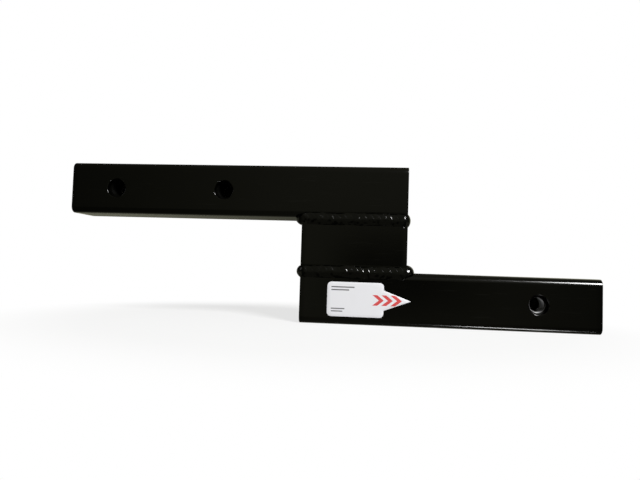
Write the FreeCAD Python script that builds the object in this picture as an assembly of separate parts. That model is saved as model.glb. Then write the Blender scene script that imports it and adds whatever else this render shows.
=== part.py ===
import FreeCAD, Part
import os
from math import ceil, cos, pi, radians, sin, sqrt, tan

Vector = FreeCAD.Vector

# Square tube stock of all three members
TUBE_SIDE = 50.8
WALL = 6.35
CORNER_OUTER = 6.35
CORNER_INNER = 1.6
END_BREAK = 0.6

# Members, lying along X and stacked upwards: lower tube, spacer tube, upper tube
UPPER_LENGTH = 336.55
SPACER_LENGTH = 101.6
LOWER_LENGTH = 279.4

# Pin holes in the front walls: two in the upper tube and one in the lower, set back from the free ends
PIN_HOLE = 18.4
PIN_HOLE_BREAK = 0.5
CARRIER_SETBACK = 46.4
CARRIER_SPACING = 110.0
HITCH_SETBACK = 56.6

# Tapped boss behind each pin hole
BOSS_DIAMETER = 25.4
BOSS_LENGTH = 22.2
BOSS_BORE = 13.9
BOSS_MOUTH = 16.0

# Weld beads: a bead is a row of overlapping puddles, each frozen with its trailing edge raised
PUDDLE_PITCH = 6.0
PUDDLE_TILT = 9.0
PUDDLE_SLOPE = 40.0
PUDDLE_SIDES = 12
SEAM_RADIUS = 6.7
SEAM_CROWN = 1.5
SEAM_ROOT = 4.0
SEAM_OVERHANG = 3.6
SEAM_DROP = 1.0
CAP_MARGIN = 0.35
UPPER_CAP_CROWN = 2.0
LOWER_CAP_CROWN = 3.6
FILLET_LEG = 6.0
FILLET_CROWN = 0.9

# Adhesive label on the lower tube's front: a rounded rectangle that ends in an arrowhead
LABEL_THICKNESS = 0.2
LABEL_SETBACK = 26.8
LABEL_LENGTH = 53.8
LABEL_HEIGHT = 32.9
LABEL_DROP = 1.2
LABEL_CORNER = 4.0
ARROW_LENGTH = 25.6
ARROW_HEIGHT = 19.2

# Edge picking: how near a place must be, and how far along an axis a unit direction must run
NEAR = 0.01
ALONG = 0.5

# Places worked out from the sizes above; the origin is under the middle of the whole part
HALF = TUBE_SIDE / 2
OVERALL = UPPER_LENGTH + LOWER_LENGTH - SPACER_LENGTH
UPPER_LEFT = -OVERALL / 2
LOWER_RIGHT = OVERALL / 2
SPACER_LEFT = LOWER_RIGHT - LOWER_LENGTH
SPACER_RIGHT = SPACER_LEFT + SPACER_LENGTH
LOWER_SEAM = TUBE_SIDE
UPPER_SEAM = 2 * TUBE_SIDE
UPPER_AXIS = 2 * TUBE_SIDE + HALF
HITCH_X = LOWER_RIGHT - HITCH_SETBACK
OUTER_X = UPPER_LEFT + CARRIER_SETBACK
INNER_X = OUTER_X + CARRIER_SPACING
FRONT = Vector(0, -1, 0)
REAR = Vector(0, 1, 0)
RIGHT = Vector(1, 0, 0)
LEFT = Vector(-1, 0, 0)


def direction(edge):
    """The way that an edge sets out from its first point."""
    return edge.tangentAt(edge.FirstParameter)


def rounded_bar(left, length, axis_height, side, corner):
    """A square bar along X with rounded long edges."""
    half = side / 2
    bar = Part.makeBox(length, side, side, Vector(left, -half, axis_height - half))
    long_edges = [edge for edge in bar.Edges if abs(direction(edge).x) > ALONG]
    return bar.makeFillet(corner, long_edges)


def member_bar(left, length, axis_height):
    """The outside of a member: a bar whose sawn ends have broken edges."""
    bar = rounded_bar(left, length, axis_height, TUBE_SIDE, CORNER_OUTER)
    end_edges = [edge for edge in bar.Edges if abs(direction(edge).x) < ALONG]
    return bar.makeChamfer(END_BREAK, end_edges)


def member_tube(left, length, axis_height):
    """A member with its inside cut away from end to end."""
    inner_side = TUBE_SIDE - 2 * WALL
    inside = rounded_bar(left - WALL, length + 2 * WALL, axis_height, inner_side, CORNER_INNER)
    return member_bar(left, length, axis_height).cut(inside)


def is_front_rim(edge, x):
    """Whether an edge is the rim of the hole at x in a tube's front face."""
    rim = edge.Curve
    if not isinstance(rim, Part.Circle) or abs(rim.Axis.y) < ALONG:
        return False
    return abs(rim.Center.x - x) < NEAR and abs(rim.Center.y + HALF) < NEAR


def pin_hole(tube, x, axis_height):
    """Drills a tube's front wall, and breaks the rim of the hole."""
    start = Vector(x, -TUBE_SIDE, axis_height)
    drilled = tube.cut(Part.makeCylinder(PIN_HOLE / 2, TUBE_SIDE, start, REAR))
    rims = [edge for edge in drilled.Edges if is_front_rim(edge, x)]
    return drilled.makeChamfer(PIN_HOLE_BREAK, rims)


def upper_tube():
    """The carrier's tube, with two pin holes in its front wall."""
    tube = member_tube(UPPER_LEFT, UPPER_LENGTH, UPPER_AXIS)
    return pin_hole(pin_hole(tube, OUTER_X, UPPER_AXIS), INNER_X, UPPER_AXIS)


def spacer_tube():
    """The short tube that sets the rise."""
    return member_tube(SPACER_LEFT, SPACER_LENGTH, TUBE_SIDE + HALF)


def lower_tube():
    """The shank tube, with one pin hole in its front wall."""
    return pin_hole(member_tube(SPACER_LEFT, LOWER_LENGTH, HALF), HITCH_X, HALF)


def pin_boss(x, axis_height):
    """A boss on the inner face of the front wall, its tapped bore in line with the pin hole."""
    half_bore = BOSS_BORE / 2
    half_mouth = BOSS_MOUTH / 2
    half_outside = BOSS_DIAMETER / 2
    outline = [
        Vector(half_mouth, 0, 0),
        Vector(half_outside, 0, 0),
        Vector(half_outside, 0, BOSS_LENGTH),
        Vector(half_bore, 0, BOSS_LENGTH),
        Vector(half_bore, 0, half_mouth - half_bore),
        Vector(half_mouth, 0, 0),
    ]
    boss = Part.Face(Part.makePolygon(outline)).revolve(Vector(), Vector(0, 0, 1), 360)
    seat = Vector(x, WALL - HALF, axis_height)
    boss.Placement = FreeCAD.Placement(seat, FreeCAD.Rotation(Vector(0, 0, 1), REAR))
    return boss


def ring(radius, height):
    """The corners of a regular polygon about Z."""
    turns = [2 * pi * number / PUDDLE_SIDES for number in range(PUDDLE_SIDES)]
    return [Vector(radius * cos(turn), radius * sin(turn), height) for turn in turns]


def puddle(radius, crown, depth):
    """One puddle about Z: a many-sided disc with a sloping edge and a flat top at the crown height."""
    top = radius - crown / tan(radians(PUDDLE_SLOPE))
    rings = [ring(radius, -depth), ring(radius, 0), ring(top, crown)]
    outlines = [rings[0], rings[-1]]
    for below, above in zip(rings, rings[1:]):
        for number in range(PUDDLE_SIDES):
            outlines.append([below[number - 1], below[number], above[number], above[number - 1]])
    faces = [Part.Face(Part.makePolygon([*outline, outline[0]])) for outline in outlines]
    return Part.Solid(Part.Shell(faces))


def bead(start, end, normal, radius, crown, depth):
    """A row of puddles from start to end on a surface with this normal, tilted along the way of travel."""
    travel = (end - start).normalize()
    steps = ceil(start.distanceToPoint(end) / PUDDLE_PITCH)
    spread = FreeCAD.Rotation(travel, normal.cross(travel), normal, "XYZ")
    turn = spread.multiply(FreeCAD.Rotation(Vector(0, 1, 0), PUDDLE_TILT))
    puddles = []
    for number in range(steps + 1):
        drop = puddle(radius, crown, depth)
        drop.Placement = FreeCAD.Placement(start + (end - start) * (number / steps), turn)
        puddles.append(drop)
    return puddles[0].multiFuse(puddles[1:])


def slab(bottom, top, near, far):
    """A block round the spacer tube between two heights and two depths, to trim a bead with."""
    margin = 2 * SEAM_RADIUS
    corner = Vector(SPACER_LEFT - margin, near, bottom)
    return Part.makeBox(SPACER_LENGTH + 2 * margin, far - near, top - bottom, corner)


def seam_bead(seam, normal, members):
    """A long bead that fills the groove between two rounded tube corners, and wraps over its ends."""
    reach = SEAM_RADIUS - SEAM_OVERHANG
    height = seam - SEAM_DROP
    left = Vector(SPACER_LEFT + reach, normal.y * HALF, height)
    right = Vector(SPACER_RIGHT - reach, normal.y * HALF, height)
    metal = bead(right, left, normal, SEAM_RADIUS, SEAM_CROWN, 2 * SEAM_ROOT)
    depths = sorted([normal.y * (HALF - SEAM_ROOT), normal.y * (HALF + SEAM_RADIUS)])
    trim = slab(height - 2 * SEAM_RADIUS, height + 2 * SEAM_RADIUS, *depths)
    return metal.common(trim).cut(members)


def end_bead(x, seam, normal, radius, crown, depth, members):
    """A short bead across a tube end, from the root of the front bead to the root of the rear one."""
    reach = HALF - SEAM_ROOT
    metal = bead(Vector(x, -reach, seam), Vector(x, reach, seam), normal, radius, crown, depth)
    trim = slab(seam - TUBE_SIDE, seam + TUBE_SIDE, -reach, reach)
    return metal.common(trim).cut(members)


def cap_bead(x, seam, normal, crown, members):
    """A bead over the seam between two flush tube ends, kept on the thickness of the two walls."""
    return end_bead(x, seam, normal, WALL - CAP_MARGIN, crown, END_BREAK, members)


def fillet_bead(x, seam, normal, members):
    """A bead in the inside corner between a tube's end and the face that it stands on."""
    radius = FILLET_LEG / sqrt(2)
    middle = normal * radius
    return end_bead(x + middle.x, seam + middle.z, normal, radius, FILLET_CROWN, FILLET_LEG, members)


def weld_beads():
    """The beads of the two joints: along the front and the rear, and across both ends of each seam."""
    upper = member_bar(UPPER_LEFT, UPPER_LENGTH, UPPER_AXIS)
    spacer = member_bar(SPACER_LEFT, SPACER_LENGTH, TUBE_SIDE + HALF)
    lower = member_bar(SPACER_LEFT, LOWER_LENGTH, HALF)
    upper_pair = [upper, spacer]
    lower_pair = [lower, spacer]
    under = (LEFT + Vector(0, 0, -1)).normalize()
    over = (RIGHT + Vector(0, 0, 1)).normalize()
    return {
        "upper_weld_front": seam_bead(UPPER_SEAM, FRONT, upper_pair),
        "upper_weld_rear": seam_bead(UPPER_SEAM, REAR, upper_pair),
        "upper_weld_fillet": fillet_bead(SPACER_LEFT, UPPER_SEAM, under, upper_pair),
        "upper_weld_cap": cap_bead(SPACER_RIGHT, UPPER_SEAM, RIGHT, UPPER_CAP_CROWN, upper_pair),
        "lower_weld_front": seam_bead(LOWER_SEAM, FRONT, lower_pair),
        "lower_weld_rear": seam_bead(LOWER_SEAM, REAR, lower_pair),
        "lower_weld_fillet": fillet_bead(SPACER_RIGHT, LOWER_SEAM, over, lower_pair),
        "lower_weld_cap": cap_bead(SPACER_LEFT, LOWER_SEAM, LEFT, LOWER_CAP_CROWN, lower_pair),
    }


def label():
    """The label, stuck to the front face with its arrowhead towards the free end."""
    left = SPACER_LEFT + LABEL_SETBACK
    middle = HALF - LABEL_DROP
    right = left + LABEL_LENGTH
    face = -HALF - LABEL_THICKNESS
    corner = Vector(left, face, middle - LABEL_HEIGHT / 2)
    blank = Part.makeBox(LABEL_LENGTH, LABEL_THICKNESS, LABEL_HEIGHT, corner)
    short_edges = [edge for edge in blank.Edges if abs(direction(edge).y) > ALONG]
    blank = blank.makeFillet(LABEL_CORNER, short_edges)
    head = [
        Vector(right - LABEL_CORNER, face, middle - ARROW_HEIGHT / 2),
        Vector(right, face, middle - ARROW_HEIGHT / 2),
        Vector(right + ARROW_LENGTH, face, middle),
        Vector(right, face, middle + ARROW_HEIGHT / 2),
        Vector(right - LABEL_CORNER, face, middle + ARROW_HEIGHT / 2),
    ]
    arrow = Part.Face(Part.makePolygon([*head, head[0]])).extrude(REAR * LABEL_THICKNESS)
    return blank.fuse(arrow).removeSplitter()


def main():
    os.makedirs("parts", exist_ok=True)
    nodes = {
        "upper_tube": upper_tube(),
        "spacer_tube": spacer_tube(),
        "lower_tube": lower_tube(),
        "hitch_pin_boss": pin_boss(HITCH_X, HALF),
        "carrier_boss_outer": pin_boss(OUTER_X, UPPER_AXIS),
        "carrier_boss_inner": pin_boss(INNER_X, UPPER_AXIS),
        **weld_beads(),
        "direction_label": label(),
    }
    for name, shape in nodes.items():
        print(f"{name}: solids {len(shape.Solids)}, valid {shape.isValid()}, volume {shape.Volume:.1f} mm3")
        shape.exportStep(f"parts/{name}.step")


main()
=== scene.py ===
"""Looks of a hitch riser adapter: stacked square tubes, rippled weld beads, tapped bosses and a label.

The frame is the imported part's own: +X towards the shank's free end, +Y away from the labelled face and
+Z up. Shapes are worked out in millimetres, and are made metres when a mesh is written. Finishes, lamps
and the camera are in metres.
"""

import logging
from dataclasses import dataclass, field
from enum import Enum
from functools import reduce
from typing import Any, Callable, Union

import bmesh
import bpy
import numpy as np
from mathutils import Matrix, Vector


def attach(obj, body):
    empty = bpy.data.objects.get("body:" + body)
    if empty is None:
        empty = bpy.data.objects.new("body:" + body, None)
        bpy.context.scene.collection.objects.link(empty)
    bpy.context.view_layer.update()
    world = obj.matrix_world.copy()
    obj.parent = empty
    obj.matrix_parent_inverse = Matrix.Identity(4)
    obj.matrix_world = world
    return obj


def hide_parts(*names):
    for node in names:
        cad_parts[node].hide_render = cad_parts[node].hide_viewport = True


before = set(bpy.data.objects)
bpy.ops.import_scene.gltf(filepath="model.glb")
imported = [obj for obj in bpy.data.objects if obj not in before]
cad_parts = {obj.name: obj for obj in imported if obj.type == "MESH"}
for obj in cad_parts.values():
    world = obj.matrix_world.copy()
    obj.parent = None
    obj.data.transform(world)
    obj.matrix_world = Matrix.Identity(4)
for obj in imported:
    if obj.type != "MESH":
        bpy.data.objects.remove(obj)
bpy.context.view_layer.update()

Array = np.ndarray
Material = bpy.types.Material
Socket = bpy.types.NodeSocket
Pair = tuple[float, float]
Place = tuple[float, float, float]
Colour = tuple[float, float, float]
Number = Union[float, "Value"]

BODY = "root"
MILLIMETRE = 0.001
MERGE_DISTANCE = 2e-6
PICTURE_WIDTH = 640
COAT_IOR = 1.5
WHITE = (1.0, 1.0, 1.0)
UP = np.array([0.0, 0.0, 1.0])
LOG = logging.getLogger("hitch_riser")

TUBE_SIDE = 50.8
HALF = TUBE_SIDE / 2
UPPER_LEFT = -257.175
UPPER_LENGTH = 336.55
SPACER_LEFT = -22.225
SPACER_LENGTH = 101.6
LOWER_LENGTH = 279.4
LOWER_SEAM = TUBE_SIDE
UPPER_SEAM = 2 * TUBE_SIDE
UPPER_AXIS = UPPER_SEAM + HALF
HITCH_X = 200.575
OUTER_X = -210.775
INNER_X = -100.775

# Rims of the puddles along a bead's front: distance from the spacer's left end, and height of the step.
UPPER_RIMS = (
    (7.6, 0.03), (14.4, 0.03), (21.1, 0.03), (26.5, 0.04), (31.3, 0.06),
    (38.6, 0.09), (44.4, 0.03), (50.2, 0.04), (56.6, 0.11), (63.2, 0.06),
    (69.9, 0.05), (76.5, 0.05), (82.1, 0.03), (86.8, 0.17), (93.7, 0.03),
)
LOWER_RIMS = (
    (7.6, 0.03), (13.4, 0.03), (20.2, 0.04), (26.9, 0.06), (33.2, 0.03),
    (39.8, 0.04), (46.1, 0.20), (51.6, 0.03), (56.6, 0.03), (61.5, 0.16),
    (67.4, 0.14), (73.2, 0.05), (80.9, 0.11), (87.7, 0.09), (94.0, 0.03),
)


class Slot(Enum):
    """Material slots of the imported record."""

    COAT = "black_coat"
    WELD = "coated_weld"
    BOSS = "bare_boss"
    LABEL = "label_vinyl"


class SeamEnd(Enum):
    """How a bead crosses an end of its seam; the value says how far it is a fillet."""

    CAP = 0.0
    FILLET = 1.0


def binary(operation: str, turned: bool = False) -> Callable[["Value", Number], "Value"]:
    """Makes an operator of a value and another term.

    Args:
        operation: Name of the Math node's operation.
        turned: Whether the other term comes first, as in a reflected operator.

    Returns:
        The operator's method.
    """
    def method(value: "Value", other: Number) -> "Value":
        """Adds the operation's node."""
        terms = (other, value) if turned else (value, other)
        return value.math(operation, *terms)

    return method


class Value:
    """A number that varies over a surface: a shader socket whose operators add Math nodes."""

    __add__ = binary("ADD")
    __radd__ = binary("ADD", turned=True)
    __sub__ = binary("SUBTRACT")
    __rsub__ = binary("SUBTRACT", turned=True)
    __mul__ = binary("MULTIPLY")
    __rmul__ = binary("MULTIPLY", turned=True)
    greater = binary("MAXIMUM")

    def __init__(self, graph: "Graph", socket: Socket) -> None:
        """Wraps a socket of this graph."""
        self.graph = graph
        self.socket = socket

    def __abs__(self) -> "Value":
        """This without its sign."""
        return self.math("ABSOLUTE", self)

    def math(self, operation: str, *terms: Number) -> "Value":
        """Adds one Math node.

        Args:
            operation: Name of the node's operation.
            terms: Its inputs in order, numbers or values.

        Returns:
            The node's result.
        """
        sockets = dict(enumerate(terms))
        return self.graph.node("ShaderNodeMath", {"operation": operation}, sockets).value()

    def wave(self) -> "Value":
        """A wave of this in radians, half its sine plus a half."""
        return self.math("SINE", self) * 0.5 + 0.5

    def step(self, low: float, high: float) -> "Value":
        """A smooth step of this.

        Args:
            low: Where the step leaves 0.
            high: Where the step reaches 1; below low, the step falls.

        Returns:
            0 before low, 1 after high and a smooth S between.
        """
        if low > high:
            return 1 - self.step(high, low)
        settings = {"interpolation_type": "SMOOTHSTEP"}
        sockets = {"Value": self, "From Min": low, "From Max": high}
        return self.graph.node("ShaderNodeMapRange", settings, sockets).value()

    def inside(self, reach: float, soft: float) -> "Value":
        """1 where this is below the reach and 0 past it, with an edge soft by this much either way."""
        return self.step(reach + soft, reach - soft)

    def mix(self, low: Number, high: Number) -> "Value":
        """The level that this gives as a mask, low at 0 and high at 1."""
        return low + self * (high - low)


def union(masks: list[Value]) -> Value:
    """The largest of some masks at each place."""
    return reduce(Value.greater, masks)


class Made:
    """A node that has been added, with its sockets at hand."""

    def __init__(self, graph: "Graph", node: bpy.types.Node) -> None:
        """Keeps a node of this graph."""
        self.graph = graph
        self.node = node

    def out(self, name: Union[str, int] = 0) -> Socket:
        """An output socket by name or number."""
        return self.node.outputs[name]

    def value(self, name: Union[str, int] = 0) -> Value:
        """An output as a value to reckon with."""
        return Value(self.graph, self.out(name))


class Graph:
    """The nodes of one material or of the world."""

    def __init__(self, tree: bpy.types.NodeTree) -> None:
        """Starts on an emptied node tree."""
        self.tree = tree
        tree.nodes.clear()

    def node(self, kind: str, settings: dict[str, Any] | None = None,
             sockets: dict[Union[str, int], Any] | None = None) -> Made:
        """Adds a node of any type.

        Args:
            kind: The node's type name.
            settings: Properties, which are set before the sockets.
            sockets: Values or links by input name or number.

        Returns:
            The node that was made.
        """
        made = self.tree.nodes.new(kind)
        for key, setting in (settings or {}).items():
            setattr(made, key, setting)
        for key, given in (sockets or {}).items():
            self._plug(made.inputs[key], given)
        return Made(self, made)

    def _plug(self, socket: Socket, given: Any) -> None:
        """Links an input to what is given, or sets it.

        Args:
            socket: The input.
            given: A value, an output, a number, or a colour, which gets full cover.
        """
        source = given.socket if isinstance(given, Value) else given
        if isinstance(source, Socket):
            self.tree.links.new(source, socket)
        elif socket.type == "RGBA":
            socket.default_value = (*source, 1.0)
        else:
            socket.default_value = source

    def coordinates(self, output: str = "Object") -> Socket:
        """The surface's own coordinates."""
        return self.node("ShaderNodeTexCoord").out(output)

    def parts(self, vector: Socket) -> tuple[Value, Value, Value]:
        """The three numbers of a vector."""
        split = self.node("ShaderNodeSeparateXYZ", sockets={"Vector": vector})
        return split.value("X"), split.value("Y"), split.value("Z")

    def stretched(self, scale: Place) -> Socket:
        """Object coordinates times a scale for each axis."""
        sockets = {0: self.coordinates(), 1: scale}
        return self.node("ShaderNodeVectorMath", {"operation": "MULTIPLY"}, sockets).out()

    def noise(self, scale: float, detail: float = 2.0, roughness: float = 0.5,
              vector: Socket | None = None) -> Value:
        """Cloudy noise about a half.

        Args:
            scale: Clouds in a metre.
            detail: Octaves of finer cloud.
            roughness: Weight of the finer octaves.
            vector: Coordinates, or the object's own when none are given.

        Returns:
            The noise, from 0 to 1.
        """
        sockets = {"Vector": vector or self.coordinates(), "Scale": scale,
                   "Detail": detail, "Roughness": roughness}
        return self.node("ShaderNodeTexNoise", sockets=sockets).value()

    def tint(self, amount: Number, low: Any, high: Any) -> Socket:
        """A colour between two others.

        Args:
            amount: 0 for the low colour and 1 for the high one.
            low: Colour, or a socket that gives one.
            high: Colour, or a socket that gives one.

        Returns:
            The mixed colour's socket.
        """
        sockets = {0: amount, 6: low, 7: high}
        return self.node("ShaderNodeMix", {"data_type": "RGBA"}, sockets).out(2)

    def bump(self, height: Number, depth: float) -> Socket:
        """A normal from a height of 0 to 1 that stands for this depth in metres."""
        return self.node("ShaderNodeBump", sockets={"Height": height, "Distance": depth}).out()

    def seen(self) -> Value:
        """1 for rays from the camera, straight or through glass, and 0 for all others."""
        path = self.node("ShaderNodeLightPath")
        return path.value("Is Camera Ray").greater(path.value("Is Transmission Ray"))

    def surface(self, sockets: dict[str, Any]) -> Socket:
        """A principled shader with these sockets."""
        return self.node("ShaderNodeBsdfPrincipled", sockets=sockets).out()


@dataclass(frozen=True)
class Finish:
    """A finish that pieces take: its name, its colour and how rough it is."""

    name: str
    colour: Colour
    roughness: float

    def material(self) -> Material:
        """Makes the material.

        Returns:
            A new node material whose surface is the finish's shader.
        """
        made = bpy.data.materials.new(self.name)
        made.use_nodes = True
        graph = Graph(made.node_tree)
        graph.node("ShaderNodeOutputMaterial", sockets={"Surface": self.shader(graph)})
        return made

    def shader(self, graph: Graph) -> Socket:
        """The shader at the end of the graph; each finish has its own."""
        raise NotImplementedError


@dataclass(frozen=True)
class PowderCoat(Finish):
    """Satin black powder coat: orange peel, cloudy gloss, settled dust and faint rubbing along a tube."""

    peel_size: float = 0.0017
    peel_depth: float = 1.0e-5
    fine_peel: float = 0.2
    dust: Colour = (0.010, 0.010, 0.008)
    dust_cover: float = 0.275
    rub_cover: float = 0.15
    rub_marks: Place = (22.0, 420.0, 420.0)
    rub_dulling: float = 0.06
    cloud_dulling: float = 0.07
    grain_dulling: float = 0.04

    def shader(self, graph: Graph) -> Socket:
        """Coat whose gloss drifts in clouds, and is duller where hands and sacking have rubbed it.

        Args:
            graph: Nodes of the material.

        Returns:
            The shader's socket.
        """
        clouds = graph.noise(14.0, detail=3.0, roughness=0.55) - 0.5
        grain = graph.noise(900.0, roughness=0.6) - 0.5
        streaks = graph.noise(1.0, detail=4.0, roughness=0.65, vector=graph.stretched(self.rub_marks))
        rubbing = streaks.step(0.60, 0.74)
        specks = graph.noise(2300.0, detail=0.0).step(0.80, 0.86) * graph.noise(55.0).step(0.48, 0.66)
        peel = graph.noise(1 / self.peel_size, detail=1.5, roughness=0.45)
        fine = graph.noise(4 / self.peel_size, detail=1.0)
        relief = peel * (1 - self.fine_peel) + fine * self.fine_peel
        cover = rubbing * self.rub_cover + specks * self.dust_cover
        dulling = clouds * self.cloud_dulling + grain * self.grain_dulling + rubbing * self.rub_dulling
        return graph.surface({
            "Base Color": graph.tint(cover, self.colour, self.dust),
            "Roughness": self.roughness + dulling,
            "IOR": COAT_IOR,
            "Normal": graph.bump(relief, self.peel_depth),
        })


@dataclass(frozen=True)
class WeldCoat(Finish):
    """The same coat over weld metal: freeze lines, lumps, pits, and painted shade at its toes and on its
    lower half.
    """

    relief_depth: float = 5.0e-5
    line_rate: float = 44.0
    line_wander: float = 5.0
    line_share: float = 0.12
    lump_share: float = 0.75
    lump_dulling: float = 0.22
    pit_share: float = 0.5
    pit_dulling: float = 0.12
    pit_cover: float = 0.6
    pit_colour: Colour = (0.005, 0.005, 0.004)
    # Share of the bead's lower half that is darkened by painted shade in blotches.
    painted_shade_cover: float = 0.75

    def shader(self, graph: Graph) -> Socket:
        """Coat over freeze lines, which follow the bead's own map: U counts puddles and V crosses the bead.
        Painted shade: in the crevice at the toes and in blotches on the lower half, it is a metal as dark as
        the coat, which has no sheen.

        Args:
            graph: Nodes of the material.

        Returns:
            The shader's socket.
        """
        along, across, _none = graph.parts(graph.coordinates("UV"))
        lines = (along * self.line_rate + graph.noise(260.0) * self.line_wander).wave()
        pits = graph.noise(1500.0, detail=1.0).step(0.30, 0.18)
        lumps = graph.noise(320.0)
        relief = lines * self.line_share + lumps * self.lump_share - pits * self.pit_share
        dulling = (lumps - 0.5) * self.lump_dulling + pits * self.pit_dulling
        # Painted shade: a ragged dark line without sheen along the crevice at both toes.
        toes = abs(across).step(0.76, 0.86) * graph.noise(110.0, detail=1.0).step(0.40, 0.55)
        # Painted shade: dark blotches without sheen on the lower half of the bead, which faces down.
        painted_shade_below = graph.noise(250.0).step(0.52, 0.66) * across.step(0.15, -0.35) * self.painted_shade_cover
        return graph.surface({
            "Base Color": graph.tint(pits * self.pit_cover, self.colour, self.pit_colour),
            # Painted shade where this is 1: a metal as dark as the coat shows no sheen.
            "Metallic": toes.greater(painted_shade_below),
            "Roughness": self.roughness + dulling,
            "IOR": COAT_IOR,
            "Normal": graph.bump(relief, self.relief_depth),
        })


@dataclass(frozen=True)
class TurnedMetal(Finish):
    """Turned aluminium of the bosses, with tool lines, and the coat over some bands of its depth.

    Attributes:
        coated: Depths from the mouth between which the coat lies, in metres.
        gloss: Specular level of the coat.
        coat: Colour of the coat.
        stain: Colour of the metal where it is stained.
        mouth: Place of the mouth along Y.
        soft: Half the breadth of a band's soft edge.
        ragged: How far the edge of a band strays.
        mist_cover: How far the coat's mist hides the metal.
        line_rate: Radians of tool line in a metre.
        line_stray: Radians by which the lines stray.
        line_depth: Depth of the lines.
        line_dulling: How much rougher they make the metal.
    """

    coated: tuple[Pair, ...]
    gloss: float
    coat: Colour = (0.0015, 0.0015, 0.0012)
    stain: Colour = (0.55, 0.55, 0.56)
    mouth: float = -0.01905
    soft: float = 0.0002
    ragged: float = 0.0008
    mist_cover: float = 0.6
    line_rate: float = 24000.0
    line_stray: float = 4.0
    line_depth: float = 4.0e-6
    line_dulling: float = 0.08

    def shader(self, graph: Graph) -> Socket:
        """Metal with tool lines across its axis, Y, black where the coat lies and misted in patches.

        Args:
            graph: Nodes of the material.

        Returns:
            The shader's socket.
        """
        _x, depth, _z = graph.parts(graph.coordinates())
        lines = (depth * self.line_rate + graph.noise(500.0) * self.line_stray).wave()
        inward = depth - self.mouth + (graph.noise(300.0) - 0.5) * self.ragged
        bands = [abs(inward - (low + high) / 2).inside((high - low) / 2, self.soft)
                 for low, high in self.coated]
        mist = graph.noise(210.0, detail=3.0, roughness=0.6).step(0.56, 0.76) * self.mist_cover
        cover = union([mist, *bands])
        metal = graph.tint(graph.noise(90.0), self.colour, self.stain)
        return graph.surface({
            "Base Color": graph.tint(cover, metal, self.coat),
            "Metallic": 1 - cover,
            "Roughness": self.roughness + lines * self.line_dulling,
            "Specular IOR Level": self.gloss,
            "Normal": graph.bump(lines, self.line_depth),
        })


@dataclass(frozen=True)
class PrintedVinyl(Finish):
    """White label stock with plain printed rules and chevrons, in millimetres from the label's own middle.

    Attributes:
        middle: The label's middle in X and Z.
        ink_cover: How far ink hides the film, where it is most and least worn; red_cover likewise.
        rules: Middle and size of each printed rule.
        tips: Where the chevrons' tips are.
        chevron_reach: Half a chevron's height.
        chevron_breadth: Its breadth along the label.
        chevron_slant: How far its arms fall back for each unit of height.
        bleed: Half the breadth of the ink's soft edge.
        slant_bleed: The same at a chevron's arms.
        pebble_depth: Depth of the film's pebbling, in metres.
    """

    middle: Pair
    ink: Colour = (0.055, 0.055, 0.060)
    red: Colour = (0.62, 0.022, 0.020)
    grime: Colour = (0.60, 0.59, 0.57)
    grime_cover: float = 0.10
    ink_cover: Pair = (0.82, 0.98)
    red_cover: Pair = (0.86, 0.98)
    wear_dulling: float = 0.12
    ink_gloss: float = 0.06
    rules: tuple[tuple[Pair, Pair], ...] = (
        ((-12.0, 11.6), (22.0, 1.1)),
        ((-14.5, 8.9), (17.0, 1.1)),
        ((-16.5, -8.9), (13.0, 1.0)),
        ((-17.5, -11.4), (11.0, 1.0)),
    )
    tips: tuple[float, ...] = (44.0, 35.5, 27.0)
    chevron_reach: float = 5.0
    chevron_breadth: float = 4.6
    chevron_slant: float = 1.25
    bleed: float = 0.06
    slant_bleed: float = 0.08
    pebble_depth: float = 5.0e-6

    def rule(self, across: Value, up: Value, place: Pair, size: Pair) -> Value:
        """A printed rule.

        Args:
            across: Distance right of the label's middle.
            up: Distance above it.
            place: Middle of the rule.
            size: Its width and height.

        Returns:
            1 inside the rule and 0 outside, with a thin soft edge.
        """
        wide = abs(across - place[0]).inside(size[0] / 2, self.bleed)
        high = abs(up - place[1]).inside(size[1] / 2, self.bleed)
        return wide * high

    def chevron(self, across: Value, up: Value, tip: float) -> Value:
        """A printed chevron that points right.

        Args:
            across: Distance right of the label's middle.
            up: Distance above it.
            tip: Where its tip is.

        Returns:
            1 inside the chevron and 0 outside, with a thin soft edge.
        """
        rise = abs(up)
        half = self.chevron_breadth / 2
        lag = abs(across + rise * self.chevron_slant - (tip - half))
        return lag.inside(half, self.slant_bleed) * rise.inside(self.chevron_reach, self.bleed)

    def shader(self, graph: Graph) -> Socket:
        """Satin film with ink on it, slightly pebbled, and rubbed a little grey in patches.

        Args:
            graph: Nodes of the material.

        Returns:
            The shader's socket.
        """
        x, _y, z = graph.parts(graph.coordinates())
        across = x * (1 / MILLIMETRE) - self.middle[0]
        up = z * (1 / MILLIMETRE) - self.middle[1]
        ink = union([self.rule(across, up, place, size) for place, size in self.rules])
        red = union([self.chevron(across, up, tip) for tip in self.tips])
        wear = graph.noise(700.0, detail=3.0, roughness=0.6)
        grime = graph.noise(60.0, detail=3.0).step(0.55, 0.8) * self.grime_cover
        film = graph.tint(grime, self.colour, self.grime)
        inked = graph.tint(ink * wear.mix(*self.ink_cover), film, self.ink)
        printed = graph.tint(red * wear.mix(*self.red_cover), inked, self.red)
        dulling = (wear - 0.5) * self.wear_dulling - ink.greater(red) * self.ink_gloss
        return graph.surface({
            "Base Color": printed,
            "Roughness": self.roughness + dulling,
            "Normal": graph.bump(graph.noise(1600.0), self.pebble_depth),
        })


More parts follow.
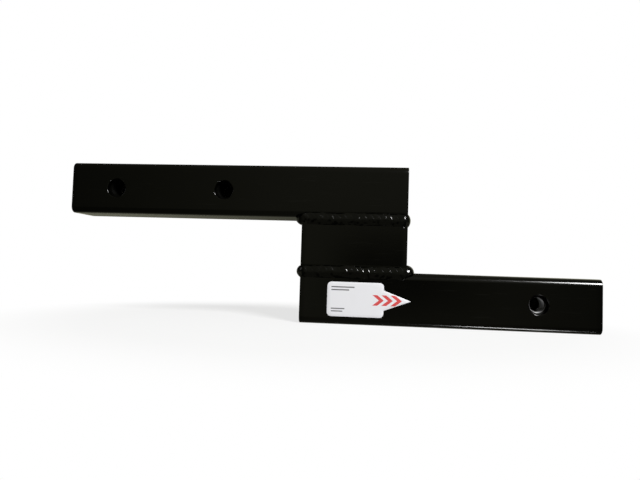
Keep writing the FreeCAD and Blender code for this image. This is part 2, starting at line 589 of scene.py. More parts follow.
@dataclass(frozen=True)
class StudioFloor(Finish):
    """Matt white floor that keeps a soft shadow near the object and is plain white further off.

    Attributes:
        worn: Colour of the paint where it is worn.
        shade: Colour that the paint has for light it throws back at the object.
        lift: Share of plain white light near the object.
        near: Distance where that share begins to grow.
        far: Distance where it is the whole.
    """

    worn: Colour = (0.80, 0.80, 0.80)
    shade: Colour = (0.06, 0.06, 0.052)
    mottle_dulling: float = 0.1
    lift: float = 0.75
    near: float = 0.20
    far: float = 0.35

    def shader(self, graph: Graph) -> Socket:
        """Paint that is white to the camera and dark to the object, so that little light comes up from it.
        For the camera it is mixed with plain white light.

        Args:
            graph: Nodes of the material.

        Returns:
            The shader's socket.
        """
        distance = graph.node("ShaderNodeVectorMath", {"operation": "LENGTH"}, {0: graph.coordinates()})
        spread = distance.value("Value").step(self.near, self.far).mix(self.lift, 1.0)
        seen = graph.seen()
        mottle = graph.noise(6.0, detail=3.0)
        paint = graph.surface({
            "Base Color": graph.tint(seen, self.shade, graph.tint(mottle, self.colour, self.worn)),
            "Roughness": self.roughness + (mottle - 0.5) * self.mottle_dulling,
            "Specular IOR Level": 0.0,
        })
        white = graph.node("ShaderNodeEmission", sockets={"Color": WHITE, "Strength": 1.0}).out()
        return graph.node("ShaderNodeMixShader", sockets={0: seen * spread, 1: paint, 2: white}).out()


@dataclass
class Skin:
    """Points and quads of a surface that is being put together, in millimetres."""

    points: list[Array] = field(default_factory=list)
    quads: list[Array] = field(default_factory=list)
    marks: list[Array] = field(default_factory=list)
    count: int = 0

    def grid(self, points: Array, round_rows: bool = False, round_columns: bool = False,
             keep: Array | None = None, marks: Array | None = None) -> None:
        """Adds a grid of points as quads that face along rows times columns.

        Args:
            points: Places, by row and column.
            round_rows: Whether the last row joins the first.
            round_columns: Whether the last column joins the first.
            keep: Which quads stay, by row and column, or all.
            marks: A map of two numbers for each point, if the finish needs one.
        """
        rows, columns = points.shape[:2]
        index = np.arange(rows * columns).reshape(rows, columns) + self.count
        if round_rows:
            index = np.vstack([index, index[:1]])
        if round_columns:
            index = np.hstack([index, index[:, :1]])
        quads = np.stack([index[:-1, :-1], index[1:, :-1], index[1:, 1:], index[:-1, 1:]], axis=-1)
        self.quads.append(quads[keep] if keep is not None else quads.reshape(-1, 4))
        self.points.append(points.reshape(-1, 3))
        self.marks.append((np.zeros((rows, columns, 2)) if marks is None else marks).reshape(-1, 2))
        self.count += rows * columns

    def mesh(self, name: str, crease: float) -> bpy.types.Mesh:
        """Writes the surface to a mesh, merges shared edges and points its faces outwards.

        Args:
            name: Name of the mesh.
            crease: Angle in degrees past which an edge stays sharp.

        Returns:
            The mesh, in metres.
        """
        points = np.concatenate(self.points) * MILLIMETRE
        quads = np.concatenate(self.quads)
        marks = np.concatenate(self.marks)
        mesh = bpy.data.meshes.new(name)
        mesh.vertices.add(len(points))
        mesh.vertices.foreach_set("co", points.ravel())
        mesh.loops.add(quads.size)
        mesh.loops.foreach_set("vertex_index", quads.ravel().astype(np.int32))
        mesh.polygons.add(len(quads))
        mesh.polygons.foreach_set("loop_start", np.arange(0, quads.size, 4, dtype=np.int32))
        mesh.update(calc_edges=True)
        if marks.any():
            layer = mesh.uv_layers.new(name="bead_map")
            layer.data.foreach_set("uv", marks[quads.ravel()].ravel())
        shape = bmesh.new()
        shape.from_mesh(mesh)
        bmesh.ops.remove_doubles(shape, verts=shape.verts, dist=MERGE_DISTANCE)
        bmesh.ops.recalc_face_normals(shape, faces=shape.faces)
        shape.to_mesh(mesh)
        shape.free()
        mesh.polygons.foreach_set("use_smooth", np.ones(len(mesh.polygons), dtype=bool))
        mesh.set_sharp_from_angle(angle=np.radians(crease))
        return mesh


def smooth(amount: Array) -> Array:
    """A smooth S from 0 to 1 of each number, three squares less two cubes."""
    held = np.clip(amount, 0.0, 1.0)
    return held * held * (3 - 2 * held)


def between(start: float, end: float, spacing: float) -> Array:
    """Evenly spread places from start to end, both kept, no further apart than the spacing."""
    return np.linspace(start, end, max(2, int(np.ceil(abs(end - start) / spacing)) + 1))


def quarter_turn(steps: int) -> Array:
    """Angles from 0 to a right angle in equal steps, both ends kept."""
    return np.linspace(0, np.pi / 2, steps + 1)


def full_turn(steps: int) -> Array:
    """Angles of a whole turn in equal steps, without the last, which is the first again."""
    return np.linspace(0, 2 * np.pi, steps, endpoint=False)


def unit(vectors: Array) -> Array:
    """Vectors cut down to a length of 1, each row by itself."""
    return vectors / np.linalg.norm(vectors, axis=1, keepdims=True)


def linked(name: str, data: bpy.types.ID) -> bpy.types.Object:
    """Makes an object of a mesh, lamp or camera and links it to the scene.

    Args:
        name: Name of the object.
        data: What it holds.

    Returns:
        The new object.
    """
    made = bpy.data.objects.new(name, data)
    bpy.context.scene.collection.objects.link(made)
    return made


def install(skin: Skin, name: str, material: Material, nodes: tuple[str, ...],
            crease: float) -> None:
    """Puts a finished surface into the scene in place of the CAD nodes that it stands for.

    Args:
        skin: The surface.
        name: Name of the piece.
        material: Its material.
        nodes: CAD nodes that it replaces.
        crease: Angle in degrees past which an edge stays sharp.
    """
    mesh = skin.mesh(name, crease)
    mesh.materials.append(material)
    piece = linked(name, mesh)
    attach(piece, BODY)
    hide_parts(*nodes)
    LOG.info("%s: %d faces for %s", name, len(mesh.polygons), ", ".join(nodes))


@dataclass(frozen=True)
class Hole:
    """A round hole through a tube's front wall.

    Attributes:
        x: Place of its axis along the tube.
        diameter: Its bore.
        edge: Radius of its rounded rim.
    """

    x: float
    diameter: float = 18.4
    edge: float = 0.7


@dataclass
class Tube:
    """A square tube along X with rounded long edges, broken ends and holes in its front wall.

    Attributes:
        end_ring: Share of the wall at which a ring of points stands on the tube's end.
        spread: Shares of the way from a hole's square to its rim at which rings of points stand.
        support: How far inside the ends of a flat side a support place stands, for a half side of 1.
    """

    name: str
    left: float
    length: float
    axis_height: float
    holes: tuple[Hole, ...] = ()
    wall: float = 6.35
    corner: float = 6.35
    inner_corner: float = 1.6
    end_edge: float = 0.6
    inner_edge: float = 0.4
    end_ring: float = 0.45
    spread: tuple[float, ...] = (0.0, 0.45, 0.75, 0.95, 1.0)
    support: float = 0.008
    arc_steps: int = 14
    flat_steps: int = 16
    edge_steps: int = 4
    rim_steps: int = 6
    spacing: float = 6.0
    crease: float = 35.0

    def flat(self) -> Array:
        """Places across a flat side from -1 to 1, spread as equal angles seen from its middle.

        Returns:
            The tangents of equal angles up to 45 degrees, and a support place just inside each end.
        """
        angles = np.linspace(-np.pi / 4, np.pi / 4, self.flat_steps + 1)
        places = np.tan(angles)
        places[0], places[-1] = -1.0, 1.0
        return np.sort(np.append(places, [self.support - 1, 1 - self.support]))

    def loop(self, half: float, radius: float) -> Array:
        """A rounded square as a closed loop of (Y, Z) about the tube's axis.

        Args:
            half: Half its side.
            radius: Radius of its corners.

        Returns:
            Points that go up the front, back over the top, down the rear and forward underneath: a flat
            side and the arc after it, turned four times by a quarter.
        """
        flat = self.flat()
        turn = quarter_turn(self.arc_steps)[1:-1]
        inset = half - radius
        side = np.column_stack([np.full_like(flat, -half), flat * inset])
        arc = np.column_stack([-inset - radius * np.cos(turn), inset + radius * np.sin(turn)])
        turned = [np.concatenate([side, arc])]
        for _ in range(3):
            turned.append(np.column_stack([turned[-1][:, 1], -turned[-1][:, 0]]))
        return np.concatenate(turned)

    def stations(self, half_flat: float, edge: float) -> Array:
        """Places along X of the grid's rows, with a set at each hole that fits the hole's square.

        Args:
            half_flat: Half the width of the flat side that the holes are in.
            edge: How far from the tube's ends the rows stop.

        Returns:
            The places, from left to right.
        """
        start = self.left + edge
        places = []
        for hole in sorted(self.holes, key=lambda item: item.x):
            square = hole.x + half_flat * self.flat()
            places += [between(start, square[0], self.spacing)[:-1], square[:-1]]
            start = square[-1]
        places.append(between(start, self.left + self.length - edge, self.spacing))
        return np.concatenate(places)

    def wrapped(self, x: Array, half: Array, radius: Array) -> Array:
        """Rounded squares set along X, one for each row of the grid.

        Args:
            x: Places of the rows.
            half: Half the side of each square.
            radius: Radius of its corners.

        Returns:
            The grid's points, by row and column.
        """
        profile = np.stack([self.loop(side, corner) for side, corner in zip(half, radius)])
        along = np.broadcast_to(x[:, None], profile.shape[:2])
        return np.stack([along, profile[..., 0], profile[..., 1] + self.axis_height], axis=-1)

    def body(self, skin: Skin) -> None:
        """Adds the tube without its holes' squares: rings that run out along the skin, over the right end,
        back along the inside and over the left end to where they began.

        Args:
            skin: Surface to add to.
        """
        inner_half = HALF - self.wall
        outer_flat, inner_flat = HALF - self.corner, inner_half - self.inner_corner
        outer = self.stations(outer_flat, self.end_edge)
        inner = self.stations(inner_flat, self.inner_edge)[::-1]
        right = self.left + self.length
        turn = quarter_turn(self.edge_steps)[1:]
        rings = [self.end_ring * self.wall, self.wall - self.inner_edge]
        inset = np.append(self.end_edge * (1 - np.cos(turn)), rings)
        end_x = np.append(right - self.end_edge * (1 - np.sin(turn)), [right, right])
        end_half = HALF - inset
        narrowed = inset / self.wall * (self.corner - self.inner_corner)
        end_corner = self.corner - np.where(inset <= self.end_edge, inset, narrowed)
        x = np.concatenate([outer, end_x, inner, 2 * self.left + self.length - end_x[::-1]])
        half = np.concatenate([np.full(len(outer), HALF), end_half,
                               np.full(len(inner), inner_half), end_half[::-1]])
        corner = np.concatenate([np.full(len(outer), self.corner), end_corner,
                                 np.full(len(inner), self.inner_corner), end_corner[::-1]])
        points = self.wrapped(x, half, corner)
        keep = np.ones(points.shape[:2], dtype=bool)
        for hole in self.holes:
            self.open_square(keep, hole, outer, 0, outer_flat)
            self.open_square(keep, hole, inner, len(outer) + len(end_x), inner_flat)
        skin.grid(points, True, True, keep)

    def open_square(self, keep: Array, hole: Hole, rows: Array, first: int, half_flat: float) -> None:
        """Drops the quads of the square round a hole.

        Args:
            keep: Which quads stay, changed here.
            hole: The hole.
            rows: Places along X of a run of rows.
            first: Number of that run's first row.
            half_flat: Half the side of the square.
        """
        middles = (rows[:-1] + rows[1:]) / 2
        inside = first + np.flatnonzero(np.abs(middles - hole.x) < half_flat)
        keep[np.ix_(inside, np.arange(len(self.flat()) - 1))] = False

    def drilled(self, skin: Skin, hole: Hole) -> None:
        """Adds a hole through the front wall: rings from a square on the face, over the rounded rim, through
        the bore and out to a square on the inner face.

        Args:
            skin: Surface to add to.
            hole: The hole.
        """
        place = self.flat()[:-1]
        ones = np.ones_like(place)
        sides = ((ones, place), (-place, ones), (-ones, -place), (place, -ones))
        square = np.concatenate([np.column_stack(side) for side in sides])
        circle = unit(square)
        bore = hole.diameter / 2
        turn = quarter_turn(self.rim_steps)[1:]
        outer = square * (HALF - self.corner)
        inner = square * (HALF - self.wall - self.inner_corner)
        spread = np.array(self.spread)[:, None, None]
        face = outer + (circle * (bore + hole.edge) - outer) * spread
        lip = circle * (bore + hole.edge * (1 - np.sin(turn)))[:, None, None]
        back = circle * bore + (inner - circle * bore) * spread
        flat_rings = np.concatenate([face, lip, back])
        flat_depth = np.zeros(len(spread))
        depth = np.concatenate([flat_depth, hole.edge * (1 - np.cos(turn)), flat_depth + self.wall])
        level = np.broadcast_to((depth - HALF)[:, None], flat_rings.shape[:2])
        along, up = flat_rings[..., 0] + hole.x, flat_rings[..., 1] + self.axis_height
        skin.grid(np.stack([along, level, up], axis=-1), False, True)

    def build(self, material: Material) -> None:
        """Makes the tube and dresses it.

        Args:
            material: Its coat.
        """
        skin = Skin()
        self.body(skin)
        for hole in self.holes:
            self.drilled(skin, hole)
        install(skin, f"{self.name}_skin", material, (self.name,), self.crease)


@dataclass
class PinBoss:
    """A round boss behind a pin hole, with a thread cut in its bore.

    Attributes:
        mouth: Radius of the bore's countersunk mouth.
        tooth_gain: How much steeper than a plain triangle the thread's flanks are.
        tooth_cut: How much of the triangle is cut off at the crest.
        edge: Break of the rear rim.
        front_edge: Break of the front rim.
        rear_land: Breadth of a ring on the rear face.
        front_land: Breadth of a ring on the front face.
    """

    node: str
    x: float
    axis_height: float
    slot: Slot
    front: float = -19.05
    length: float = 22.2
    radius: float = 12.7
    minor: float = 6.95
    major: float = 7.94
    mouth: float = 8.0
    pitch: float = 2.309
    tooth_gain: float = 1.35
    tooth_cut: float = 0.15
    edge: float = 1.2
    front_edge: float = 0.3
    rear_land: float = 2.0
    front_land: float = 1.2
    spacing: float = 0.16
    columns: int = 96
    crease: float = 50.0

    def build(self, material: Material) -> None:
        """Makes the boss: rings about Y that run through the bore and back along the outside. The bore's
        radius is the minor one plus a clipped triangle wave of depth less turn, so the crest is a helix.

        Args:
            material: Its metal.
        """
        turn = full_turn(self.columns)
        depth = between(0.0, self.length, self.spacing)
        phase = (depth[:, None] / self.pitch - turn[None, :] / (2 * np.pi)) % 1.0
        triangle = 1 - np.abs(2 * phase - 1)
        tooth = np.clip(triangle * self.tooth_gain - self.tooth_cut, 0.0, 1.0)
        thread = self.minor + (self.major - self.minor) * tooth
        bore = np.maximum(thread, (self.mouth - depth)[:, None])
        rear = self.radius - self.edge
        third = self.edge / 3
        shell = np.array([
            (rear - self.rear_land, self.length),
            (rear, self.length),
            (self.radius - third, self.length - third),
            (self.radius, self.length - self.edge),
            (self.radius, self.length / 2),
            (self.radius, self.front_edge),
            (self.radius - self.front_edge, 0.0),
            (self.mouth + self.front_land, 0.0),
        ])
        outside = np.broadcast_to(shell[:, :1], (len(shell), self.columns))
        distance = np.concatenate([bore, outside])
        level = np.concatenate([depth, shell[:, 1]])[:, None] + np.zeros_like(distance)
        rings = np.stack([self.x + distance * np.cos(turn), self.front + level,
                          self.axis_height + distance * np.sin(turn)], axis=-1)
        skin = Skin()
        skin.grid(rings, True, True)
        install(skin, f"{self.node}_thread", material, (self.node,), self.crease)


@dataclass
class WeldRun:
    """A bead that goes all round a joint: front groove, right end, rear groove and left end.

    Attributes:
        joint: Name that the joint's CAD nodes begin with.
        seam: Height of the seam.
        right_end: How the bead crosses the right end.
        left_end: How it crosses the left end.
        lean: Which way a fillet's face looks, -1 down or 1 up.
        cap_crown: Height of the bead over the end where it is a cap.
        rims: Puddles' rims along the front: distance from the spacer's left end, and height of the step.
        seed: Start of the joint's chance wander.
        corner: Radius of the way's corners in plan.
        drop: How far the bead lies below the seam.
        sunk: How far its toes are sunk.
        root: How far its root is sunk.
        bow: How far a rim bends back at the bead's toes.
        apex: Place across the bead where a rim is foremost.
        peak: Share of a puddle over which it climbs.
        flank_foot: Place across the bead below which it has no ripples.
    """

    joint: str
    seam: float
    right_end: SeamEnd
    left_end: SeamEnd
    lean: float
    cap_crown: float
    rims: tuple[Pair, ...]
    seed: int
    corner: float = 5.0
    half_width: float = 6.5
    drop: float = 0.9
    crown: float = 1.7
    dome_power: float = 0.75
    corner_crown: float = 0.8
    corner_breadth: float = 0.7
    corner_spread: float = 7.0
    end_gain: float = 1.25
    sunk: float = 0.7
    root: float = 4.0
    root_sides: Place = (0.35, 0.0, -0.35)
    root_depths: Place = (0.8, 1.0, 0.8)
    cap_shallow: float = 0.6
    leg: float = 7.2
    fillet_crown: float = 1.6
    pitch: float = 6.6
    pitch_stray: float = 0.9
    step_mean: float = -2.4
    step_spread: float = 0.5
    step_limits: Pair = (0.03, 0.20)
    swell_reach: float = 0.16
    sway_reach: float = 0.40
    tilt_reach: float = 0.10
    bow: float = 4.2
    apex: float = -0.2
    peak: float = 0.91
    climb_power: float = 1.5
    groove: float = 0.06
    groove_width: float = 0.5
    ripple_power: float = 0.6
    flank_foot: float = -0.72
    flank_breadth: float = 0.7
    scallop: float = 0.06
    fine_spacing: float = 0.12
    coarse_spacing: float = 0.30
    columns: int = 44
    crease: float = 70.0

    def path(self) -> tuple[Array, Array, Array, Array, Array]:
        """The bead's way round the joint in plan: a rectangle with rounded corners, from the middle of the
        front-left corner along the front, and so round.

        Returns:
            Distance along the way, place in X and Y, outward direction in X and Y, nearness to a corner
            of the right end from 0 to 1, and how far the bead is a fillet, from 0 to 1.
        """
        half_x = SPACER_LENGTH / 2
        reach_x, reach_y = half_x - self.corner, HALF - self.corner
        run_x, run_y = 2 * reach_x, 2 * reach_y
        arc = self.corner * np.pi / 2
        knots = np.cumsum([0.0, arc / 2, run_x, arc, run_y, arc, run_x, arc, run_y, arc / 2])
        front_end = knots[2] + arc
        fine = between(0.0, front_end, self.fine_spacing)
        coarse = between(front_end, knots[-1], self.coarse_spacing)[1:-1]
        s = np.concatenate([fine, coarse])
        turn = np.interp(s, knots, np.radians([-45, 0, 0, 90, 90, 180, 180, 270, 270, 315]))
        outward = np.column_stack([np.sin(turn), -np.cos(turn)])
        side_x = np.array([-1, -1, 1, 1, 1, 1, -1, -1, -1, -1])
        side_y = np.array([-1, -1, -1, -1, 1, 1, 1, 1, -1, -1])
        corner_x = np.interp(s, knots, side_x * reach_x) + SPACER_LEFT + half_x
        corner_y = np.interp(s, knots, side_y * reach_y)
        place = np.column_stack([corner_x, corner_y]) + self.corner * outward
        corners = np.array([knots[2] + arc / 2, knots[4] + arc / 2])
        nearness = np.exp(-((s[:, None] - corners) / self.corner_spread) ** 2).max(axis=1)
        rightness = smooth(outward[:, 0] * self.end_gain)
        leftness = smooth(-outward[:, 0] * self.end_gain)
        fillet = self.right_end.value * rightness + self.left_end.value * leftness
        return s, place, outward, nearness, fillet

    def wander(self, s: Array, reach: float, rng: np.random.Generator) -> Array:
        """A slow chance drift along the bead: four sine waves that close on the loop.

        Args:
            s: Distance along the bead.
            reach: Size of the drift.
            rng: Source of the waves' phases.

        Returns:
            The drift at each place.
        """
        total = s[-1] + self.coarse_spacing
        waves = np.array([5, 9, 14, 23])
        phases = rng.uniform(0, 2 * np.pi, len(waves))
        parts = np.sin(2 * np.pi * s[:, None] / total * waves + phases) / np.sqrt(waves)
        return reach * parts.sum(axis=1)

    def puddles(self, total: float, rng: np.random.Generator) -> tuple[Array, Array]:
        """Where the puddles' rims are: the given ones along the front, then a chance row round the rest.

        Args:
            total: Length of the way round.
            rng: Source of the row's chances.

        Returns:
            Distances of the rims along the way, from 0 to its whole length, and the height of the step
            at the end of each puddle between them.
        """
        lead = self.corner * (1 - np.pi / 4)
        front, steps = np.array(self.rims).T
        count = round((total - front[-1] + lead) / self.pitch)
        spots = np.linspace(front[-1] - lead, total, count + 1)[1:]
        spots[:-1] += rng.uniform(-self.pitch_stray, self.pitch_stray, count - 1)
        heights = np.clip(rng.lognormal(self.step_mean, self.step_spread, count), *self.step_limits)
        return np.concatenate([[0.0], front - lead, spots]), np.concatenate([steps, heights])

    def relief(self, s: Array, across: Array, tilt: Array,
               rng: np.random.Generator) -> tuple[Array, Array, Array]:
        """The puddles' relief.

        A puddle's phase is its number along the way plus a bow times the square of the place across less
        the apex, over the pitch, so its rim is a crescent. Within a puddle the height climbs slowly, then
        falls to the next in a short S; a groove whose section is a bell curve runs between them. Both fade
        on the lower flank, and the bead is a little broader where they climb.

        Args:
            s: Distance along the bead.
            across: Place across it, from -1 to 1.
            tilt: Where the rims' apex is across it, for each distance.
            rng: Source of the puddles' chances.

        Returns:
            The phase, the height of the relief and the factor on the bead's breadth, by row and column.
        """
        spots, steps = self.puddles(s[-1] + self.coarse_spacing, rng)
        number = np.interp(s, spots, np.arange(len(spots)))
        phase = number[:, None] + (across - tilt[:, None]) ** 2 * self.bow / self.pitch
        part = phase - np.floor(phase)
        fall = smooth((1 - part) / (1 - self.peak))
        climb = np.minimum(part / self.peak, 1.0) ** self.climb_power * fall
        apart = np.abs(phase - np.round(phase)) * self.pitch
        cut = self.groove * np.exp(-((apart / self.groove_width) ** 2))
        flank = smooth((across - self.flank_foot) / self.flank_breadth)
        step = steps[np.floor(phase).astype(int) % len(steps)]
        height = (step * climb - cut) * (1 - across ** 2) ** self.ripple_power * flank
        return phase, height, 1 + self.scallop * (climb - 0.5) * flank

    def build(self, material: Material) -> None:
        """Makes the bead: a domed profile carried along the path, with the puddles' relief on it and three
        points of root inside the joint. At a fillet the profile leans by half a right angle.

        Args:
            material: Its coat.
        """
        rng = np.random.default_rng(self.seed)
        s, place, outward, nearness, fillet = self.path()
        across = np.sin(np.linspace(-np.pi / 2, np.pi / 2, self.columns))
        swell = self.wander(s, self.swell_reach, rng)
        sway = self.wander(s, self.sway_reach, rng)
        tilt = self.wander(s, self.tilt_reach, rng) + self.apex
        phase, relief, scallop = self.relief(s, across, tilt, rng)
        groove = 1 - fillet
        caps = (1 - np.abs(outward[:, 1])) * groove
        crown = groove * self.crown + fillet * self.fillet_crown + nearness * self.corner_crown + swell
        crown = crown + caps * (self.cap_crown - self.crown)
        dome = (1 - across ** 2) ** self.dome_power
        height = (crown + self.sunk)[:, None] * dome - self.sunk + relief
        breadth = groove * self.half_width + fillet * self.leg / np.sqrt(2)
        breadth = breadth + nearness * self.corner_breadth + swell
        shift = sway - self.drop * groove
        lateral = breadth[:, None] * across * scallop + shift[:, None]
        root_side = np.array(self.root_sides) * breadth[:, None]
        shallow = self.cap_shallow * np.abs(outward[:, :1]) * groove[:, None]
        root_depth = -self.root * (1 - shallow) * np.array(self.root_depths)
        height = np.hstack([height, root_depth])
        lateral = np.hstack([lateral, root_side])
        plan = np.column_stack([outward, np.zeros(len(s))])
        leaning = self.lean * fillet[:, None]
        facing = unit(plan + leaning * UP)
        wide = unit(UP - leaning * plan)
        offset = fillet[:, None] * self.leg / 2 * (plan * [1.0, 0.0, 0.0] + self.lean * UP)
        middle = np.column_stack([place, np.full(len(s), self.seam)]) + offset
        points = middle[:, None] + facing[:, None] * height[..., None] + wide[:, None] * lateral[..., None]
        spare = np.zeros_like(root_side)
        maps = [np.hstack([part, spare]) for part in (phase, np.broadcast_to(across, phase.shape))]
        skin = Skin()
        skin.grid(points, True, True, marks=np.stack(maps, axis=-1))
        nodes = tuple(f"{self.joint}_weld_{side}" for side in ("front", "rear", "fillet", "cap"))
        install(skin, f"{self.joint}_weld_bead", material, nodes, self.crease)


@dataclass
class DirectionLabel:
    """The adhesive label: a rounded rectangle that ends in an arrowhead."""

    node: str = "direction_label"
    left: float = SPACER_LEFT + 26.8
    length: float = 53.8
    height: float = 32.9
    middle_height: float = HALF - 1.2
    corner: float = 4.0
    arrow_length: float = 25.6
    arrow_height: float = 19.2
    thickness: float = 0.2
    edge: float = 0.12
    bury: float = 0.05
    corner_steps: int = 8
    side_steps: int = 5
    crease: float = 50.0

    def middle(self) -> Pair:
        """The middle of the rectangle in X and Z."""
        return self.left + self.length / 2, self.middle_height

    def outline(self) -> Array:
        """The label's outline about its middle, anticlockwise as the front is seen.

        Returns:
            Points of four corner arcs and the arrowhead between the two right ones.
        """
        half = np.array([self.length, self.height]) / 2
        turn = quarter_turn(self.corner_steps)
        arc = self.corner * np.column_stack([np.cos(turn), np.sin(turn)]) + (half - self.corner)
        runs = []
        for side, rise in ((1, 1), (-1, 1), (-1, -1), (1, -1)):
            corner = arc * [side, rise]
            runs.append(corner if side == rise else corner[::-1])
        base, rise = half[0], self.arrow_height / 2
        runs.append(np.array([(base, -rise), (base + self.arrow_length, 0.0), (base, rise)]))
        starts = np.concatenate(runs)
        ends = np.roll(starts, -1, axis=0)
        share = np.linspace(0, 1, self.side_steps + 1)[:-1, None, None]
        return np.transpose(starts + (ends - starts) * share, (1, 0, 2)).reshape(-1, 2)

    def build(self, material: Material) -> None:
        """Makes the label: rings from its middle to its outline, over the rounded edge and back behind. Each
        ring is a share of the outline, less a share of the edge's breadth, at a height above the tube.

        Args:
            material: Its film.
        """
        top, back = self.thickness, -self.bury
        table = np.array([
            (0.0, 0.0, top),
            (0.5, 0.0, top),
            (0.85, 0.0, top),
            (1.0, 1.0, top),
            (1.0, 0.3, 0.85 * top),
            (1.0, 0.0, 0.5 * top),
            (1.0, 0.0, back),
            (0.5, 0.0, back),
            (0.0, 0.0, back),
        ])
        share, inset, lift = table.T[..., None, None]
        outline = self.outline()
        reach = np.linalg.norm(outline, axis=1, keepdims=True)
        rings = outline * (share - inset * self.edge / reach)
        centre_x, centre_z = self.middle()
        level = np.broadcast_to(-HALF - lift[..., 0], rings.shape[:2])
        points = np.stack([rings[..., 0] + centre_x, level, rings[..., 1] + centre_z], axis=-1)
        skin = Skin()
        skin.grid(points, False, True)
        install(skin, "direction_label_film", material, (self.node,), self.crease)


@dataclass
class SoftLight:
    """A rectangular softbox.

    Attributes:
        name: Name of the lamp.
        place: Where it stands, in metres.
        aim: Point that it faces.
        size: Its width and height.
        level: Its brightness, where 1 is a white surface seen in full light.
    """

    name: str
    place: Place
    aim: Place
    size: Pair
    level: float

    def build(self) -> None:
        """Makes the lamp."""
        data = bpy.data.lights.new(self.name, "AREA")
        data.shape = "RECTANGLE"
        data.size, data.size_y = self.size
        data.energy = self.level * np.pi * self.size[0] * self.size[1]
        lamp = linked(self.name, data)
        lamp.location = self.place
        lamp.rotation_euler = (Vector(self.aim) - Vector(self.place)).to_track_quat("-Z", "Y").to_euler()
        LOG.info("%s: softbox", self.name)


@dataclass(frozen=True)
class StudioRoom:
    """The world: levels of the room's parts, and between which directions each comes or goes.

    A direction is one part of the unit vector that points there: side is X, back is Y and up is Z.

    Attributes:
        tone: Colour of the room's light.
        room: Level in front of the object, with shares that are left of it far left, far right and below.
        shade: Direction up of the dark of the camera's own place, which has a fainter tail to the right.
        high_wall: Level of the wall behind, above the horizon.
        low_wall: Its level below the horizon.
        rear_panel: Level of a pale panel low behind.
        side_panels: Level of pale panels low to both sides.
        backdrop: Level of the pale background behind on the left, which shows in sheen alone.
        glow: Its level on the right.
    """

    tone: Colour = (1.0, 1.0, 0.74)
    room: float = 0.14
    left_share: float = 0.22
    left_fall: Pair = (-0.62, -0.02)
    right_share: float = 0.31
    right_fall: Pair = (0.40, 0.15)
    low_share: float = 0.55
    low_fall: Pair = (-0.20, -0.05)
    shade: float = -0.01
    shade_height: Pair = (0.115, 0.02)
    shade_left: Pair = (-0.11, -0.03)
    tail_share: float = 0.38
    tail_fall: Pair = (0.25, 0.06)
    high_wall: float = 0.03
    low_wall: float = 0.065
    wall_fall: Pair = (0.02, -0.06)
    rear_panel: float = 0.20
    rear_panel_top: Pair = (-0.13, -0.22)
    side_panels: float = 0.24
    side_panel_edge: Pair = (0.62, 0.85)
    side_panel_top: Pair = (-0.05, -0.18)
    backdrop: float = 0.52
    backdrop_rise: Pair = (-0.02, -0.48)
    backdrop_height: Pair = (0.10, 0.03)
    glow: float = 0.75
    glow_rise: Pair = (0.03, 0.36)
    glow_foot: Pair = (-0.02, 0.02)
    turn_back: Pair = (0.15, 0.85)

    def build(self) -> None:
        """Makes the world: white to the camera, and to the object a dim room with pale panels low to both
        sides and behind, the dark of the camera's own place in front and, to its sheen alone, the pale
        background behind."""
        world = bpy.data.worlds.new("studio_room")
        bpy.context.scene.world = world
        world.use_nodes = True
        graph = Graph(world.node_tree)
        side, back, up = graph.parts(graph.coordinates("Generated"))
        from_left = side.step(*self.left_fall).mix(self.left_share, 1.0)
        from_right = side.step(*self.right_fall).mix(self.right_share, 1.0)
        from_below = up.step(*self.low_fall).mix(self.low_share, 1.0)
        tail = side.step(*self.tail_fall).mix(self.tail_share, 1.0)
        shade = side.step(*self.shade_left) * tail * abs(up - self.shade).step(*self.shade_height)
        front = self.room * from_left * from_right * from_below * (1 - shade)
        sheen = graph.node("ShaderNodeLightPath").value("Is Glossy Ray")
        glow = sheen * self.glow * side.step(*self.glow_rise)
        band = sheen * self.backdrop * side.step(*self.backdrop_rise) + glow
        wall = up.step(*self.wall_fall).mix(self.high_wall, self.low_wall)
        wall = wall + up.step(*self.rear_panel_top) * (self.rear_panel - self.low_wall)
        wall = wall + glow * up.step(*self.glow_foot)
        behind = abs(up).step(*self.backdrop_height).mix(wall, band.greater(wall))
        level = back.step(*self.turn_back).mix(front, behind)
        panels = abs(side).step(*self.side_panel_edge) * up.step(*self.side_panel_top)
        level = panels.mix(level, self.side_panels)
        seen = graph.seen()
        light = {"Color": graph.tint(seen, self.tone, WHITE), "Strength": seen.mix(level, 1.0)}
        background = graph.node("ShaderNodeBackground", sockets=light)
        graph.node("ShaderNodeOutputWorld", sockets={"Surface": background.out()})
        LOG.info("studio_room: world")


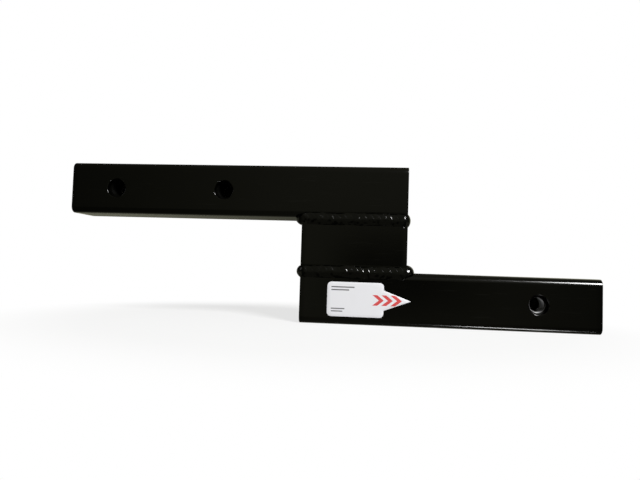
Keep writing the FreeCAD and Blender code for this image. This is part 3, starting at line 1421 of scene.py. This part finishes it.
@dataclass
class Studio:
    """Floor, room, lamps and camera."""

    floor_reach: float = 0.36
    floor_rings: tuple[float, ...] = (0.0, 0.2, 0.5, 1.0)
    floor_columns: int = 96
    floor_crease: float = 30.0
    focal_pixels: float = 576.0
    sensor_width: float = 36.0
    nearest: float = 0.01
    camera_place: Place = (0.052399, -0.575921, 0.05219)
    camera_right: Place = (0.994446, 0.100243, 0.032069)
    camera_down: Place = (0.026821, 0.053273, -0.998220)
    camera_ahead: Place = (-0.101772, 0.993536, 0.050289)

    def floor(self, material: Material) -> None:
        """Makes the floor: a flat grid of rings about the origin. It lets the low lamp's light through, and
        the object's sheen doesn't show it.

        Args:
            material: Its paint.
        """
        turn = full_turn(self.floor_columns)
        reach = np.array(self.floor_rings) * self.floor_reach / MILLIMETRE
        rings = reach[:, None, None] * np.stack([np.cos(turn), np.sin(turn), np.zeros_like(turn)], axis=-1)
        skin = Skin()
        skin.grid(rings, False, True)
        mesh = skin.mesh("studio_floor", self.floor_crease)
        mesh.materials.append(material)
        piece = linked("studio_floor", mesh)
        piece.visible_glossy = False
        piece.visible_shadow = False
        LOG.info("studio_floor: stage")

    def camera(self) -> None:
        """Makes the camera from its place and its right, down and ahead directions."""
        data = bpy.data.cameras.new("camera")
        data.sensor_fit = "HORIZONTAL"
        data.sensor_width = self.sensor_width
        data.lens = self.focal_pixels * self.sensor_width / PICTURE_WIDTH
        data.clip_start = self.nearest
        eye = linked("camera", data)
        right, down, ahead = Vector(self.camera_right), Vector(self.camera_down), Vector(self.camera_ahead)
        turn = Matrix((right, -down, -ahead)).transposed()
        eye.matrix_world = Matrix.Translation(self.camera_place) @ turn.to_4x4()
        bpy.context.scene.camera = eye
        LOG.info("camera: set")

    def build(self) -> None:
        """Sets up the whole studio."""
        paint = StudioFloor("studio_floor_white", colour=(0.86, 0.86, 0.86), roughness=0.85)
        self.floor(paint.material())
        StudioRoom().build()
        lights = (
            SoftLight("key_softbox", place=(1.55, -2.06, 1.76), aim=(0.17, -0.02, 0.05),
                      size=(0.96, 0.96), level=45.0),
            SoftLight("fill_softbox", place=(-1.75, -0.75, 0.75), aim=(0.0, 0.0, 0.08),
                      size=(0.7, 0.7), level=0.8),
            SoftLight("low_softbox", place=(0.43, -0.345, -1.13), aim=(0.10, 0.0, 0.05),
                      size=(0.34, 0.15), level=19.0),
        )
        for light in lights:
            light.build()
        self.camera()
        bpy.context.scene.view_settings.view_transform = "Standard"


def main() -> None:
    """Builds the pieces in order, then the studio."""
    logging.basicConfig(level=logging.INFO, format="%(name)s: %(message)s")
    coat = PowderCoat("black_powder_coat", colour=(0.0007, 0.0007, 0.0004), roughness=0.14).material()
    weld = WeldCoat("coated_weld_metal", colour=(0.0007, 0.0007, 0.0005), roughness=0.15).material()
    bare = TurnedMetal("bare_thread", colour=(0.66, 0.66, 0.66), roughness=0.46,
                       coated=((-0.001, 0.0010), (0.0016, 0.0028)), gloss=0.12).material()
    coated = TurnedMetal("coated_thread", colour=(0.72, 0.72, 0.73), roughness=0.46,
                         coated=((-0.001, 0.0206),), gloss=0.015).material()
    carrier_holes = (Hole(OUTER_X), Hole(INNER_X))
    Tube("upper_tube", UPPER_LEFT, UPPER_LENGTH, UPPER_AXIS, carrier_holes).build(coat)
    Tube("spacer_tube", SPACER_LEFT, SPACER_LENGTH, LOWER_SEAM + HALF).build(coat)
    Tube("lower_tube", SPACER_LEFT, LOWER_LENGTH, HALF, (Hole(HITCH_X),)).build(coat)
    PinBoss("hitch_pin_boss", HITCH_X, HALF, Slot.BOSS).build(bare)
    PinBoss("carrier_boss_outer", OUTER_X, UPPER_AXIS, Slot.COAT).build(coated)
    PinBoss("carrier_boss_inner", INNER_X, UPPER_AXIS, Slot.COAT).build(coated)
    WeldRun("upper", UPPER_SEAM, right_end=SeamEnd.CAP, left_end=SeamEnd.FILLET, lean=-1.0,
            cap_crown=2.2, rims=UPPER_RIMS, seed=11).build(weld)
    WeldRun("lower", LOWER_SEAM, right_end=SeamEnd.FILLET, left_end=SeamEnd.CAP, lean=1.0,
            cap_crown=4.3, rims=LOWER_RIMS, seed=23).build(weld)
    label = DirectionLabel()
    film = PrintedVinyl("label_film", colour=(0.78, 0.78, 0.81), roughness=0.38, middle=label.middle())
    label.build(film.material())
    Studio().build()


if __name__ == "__main__":
    main()
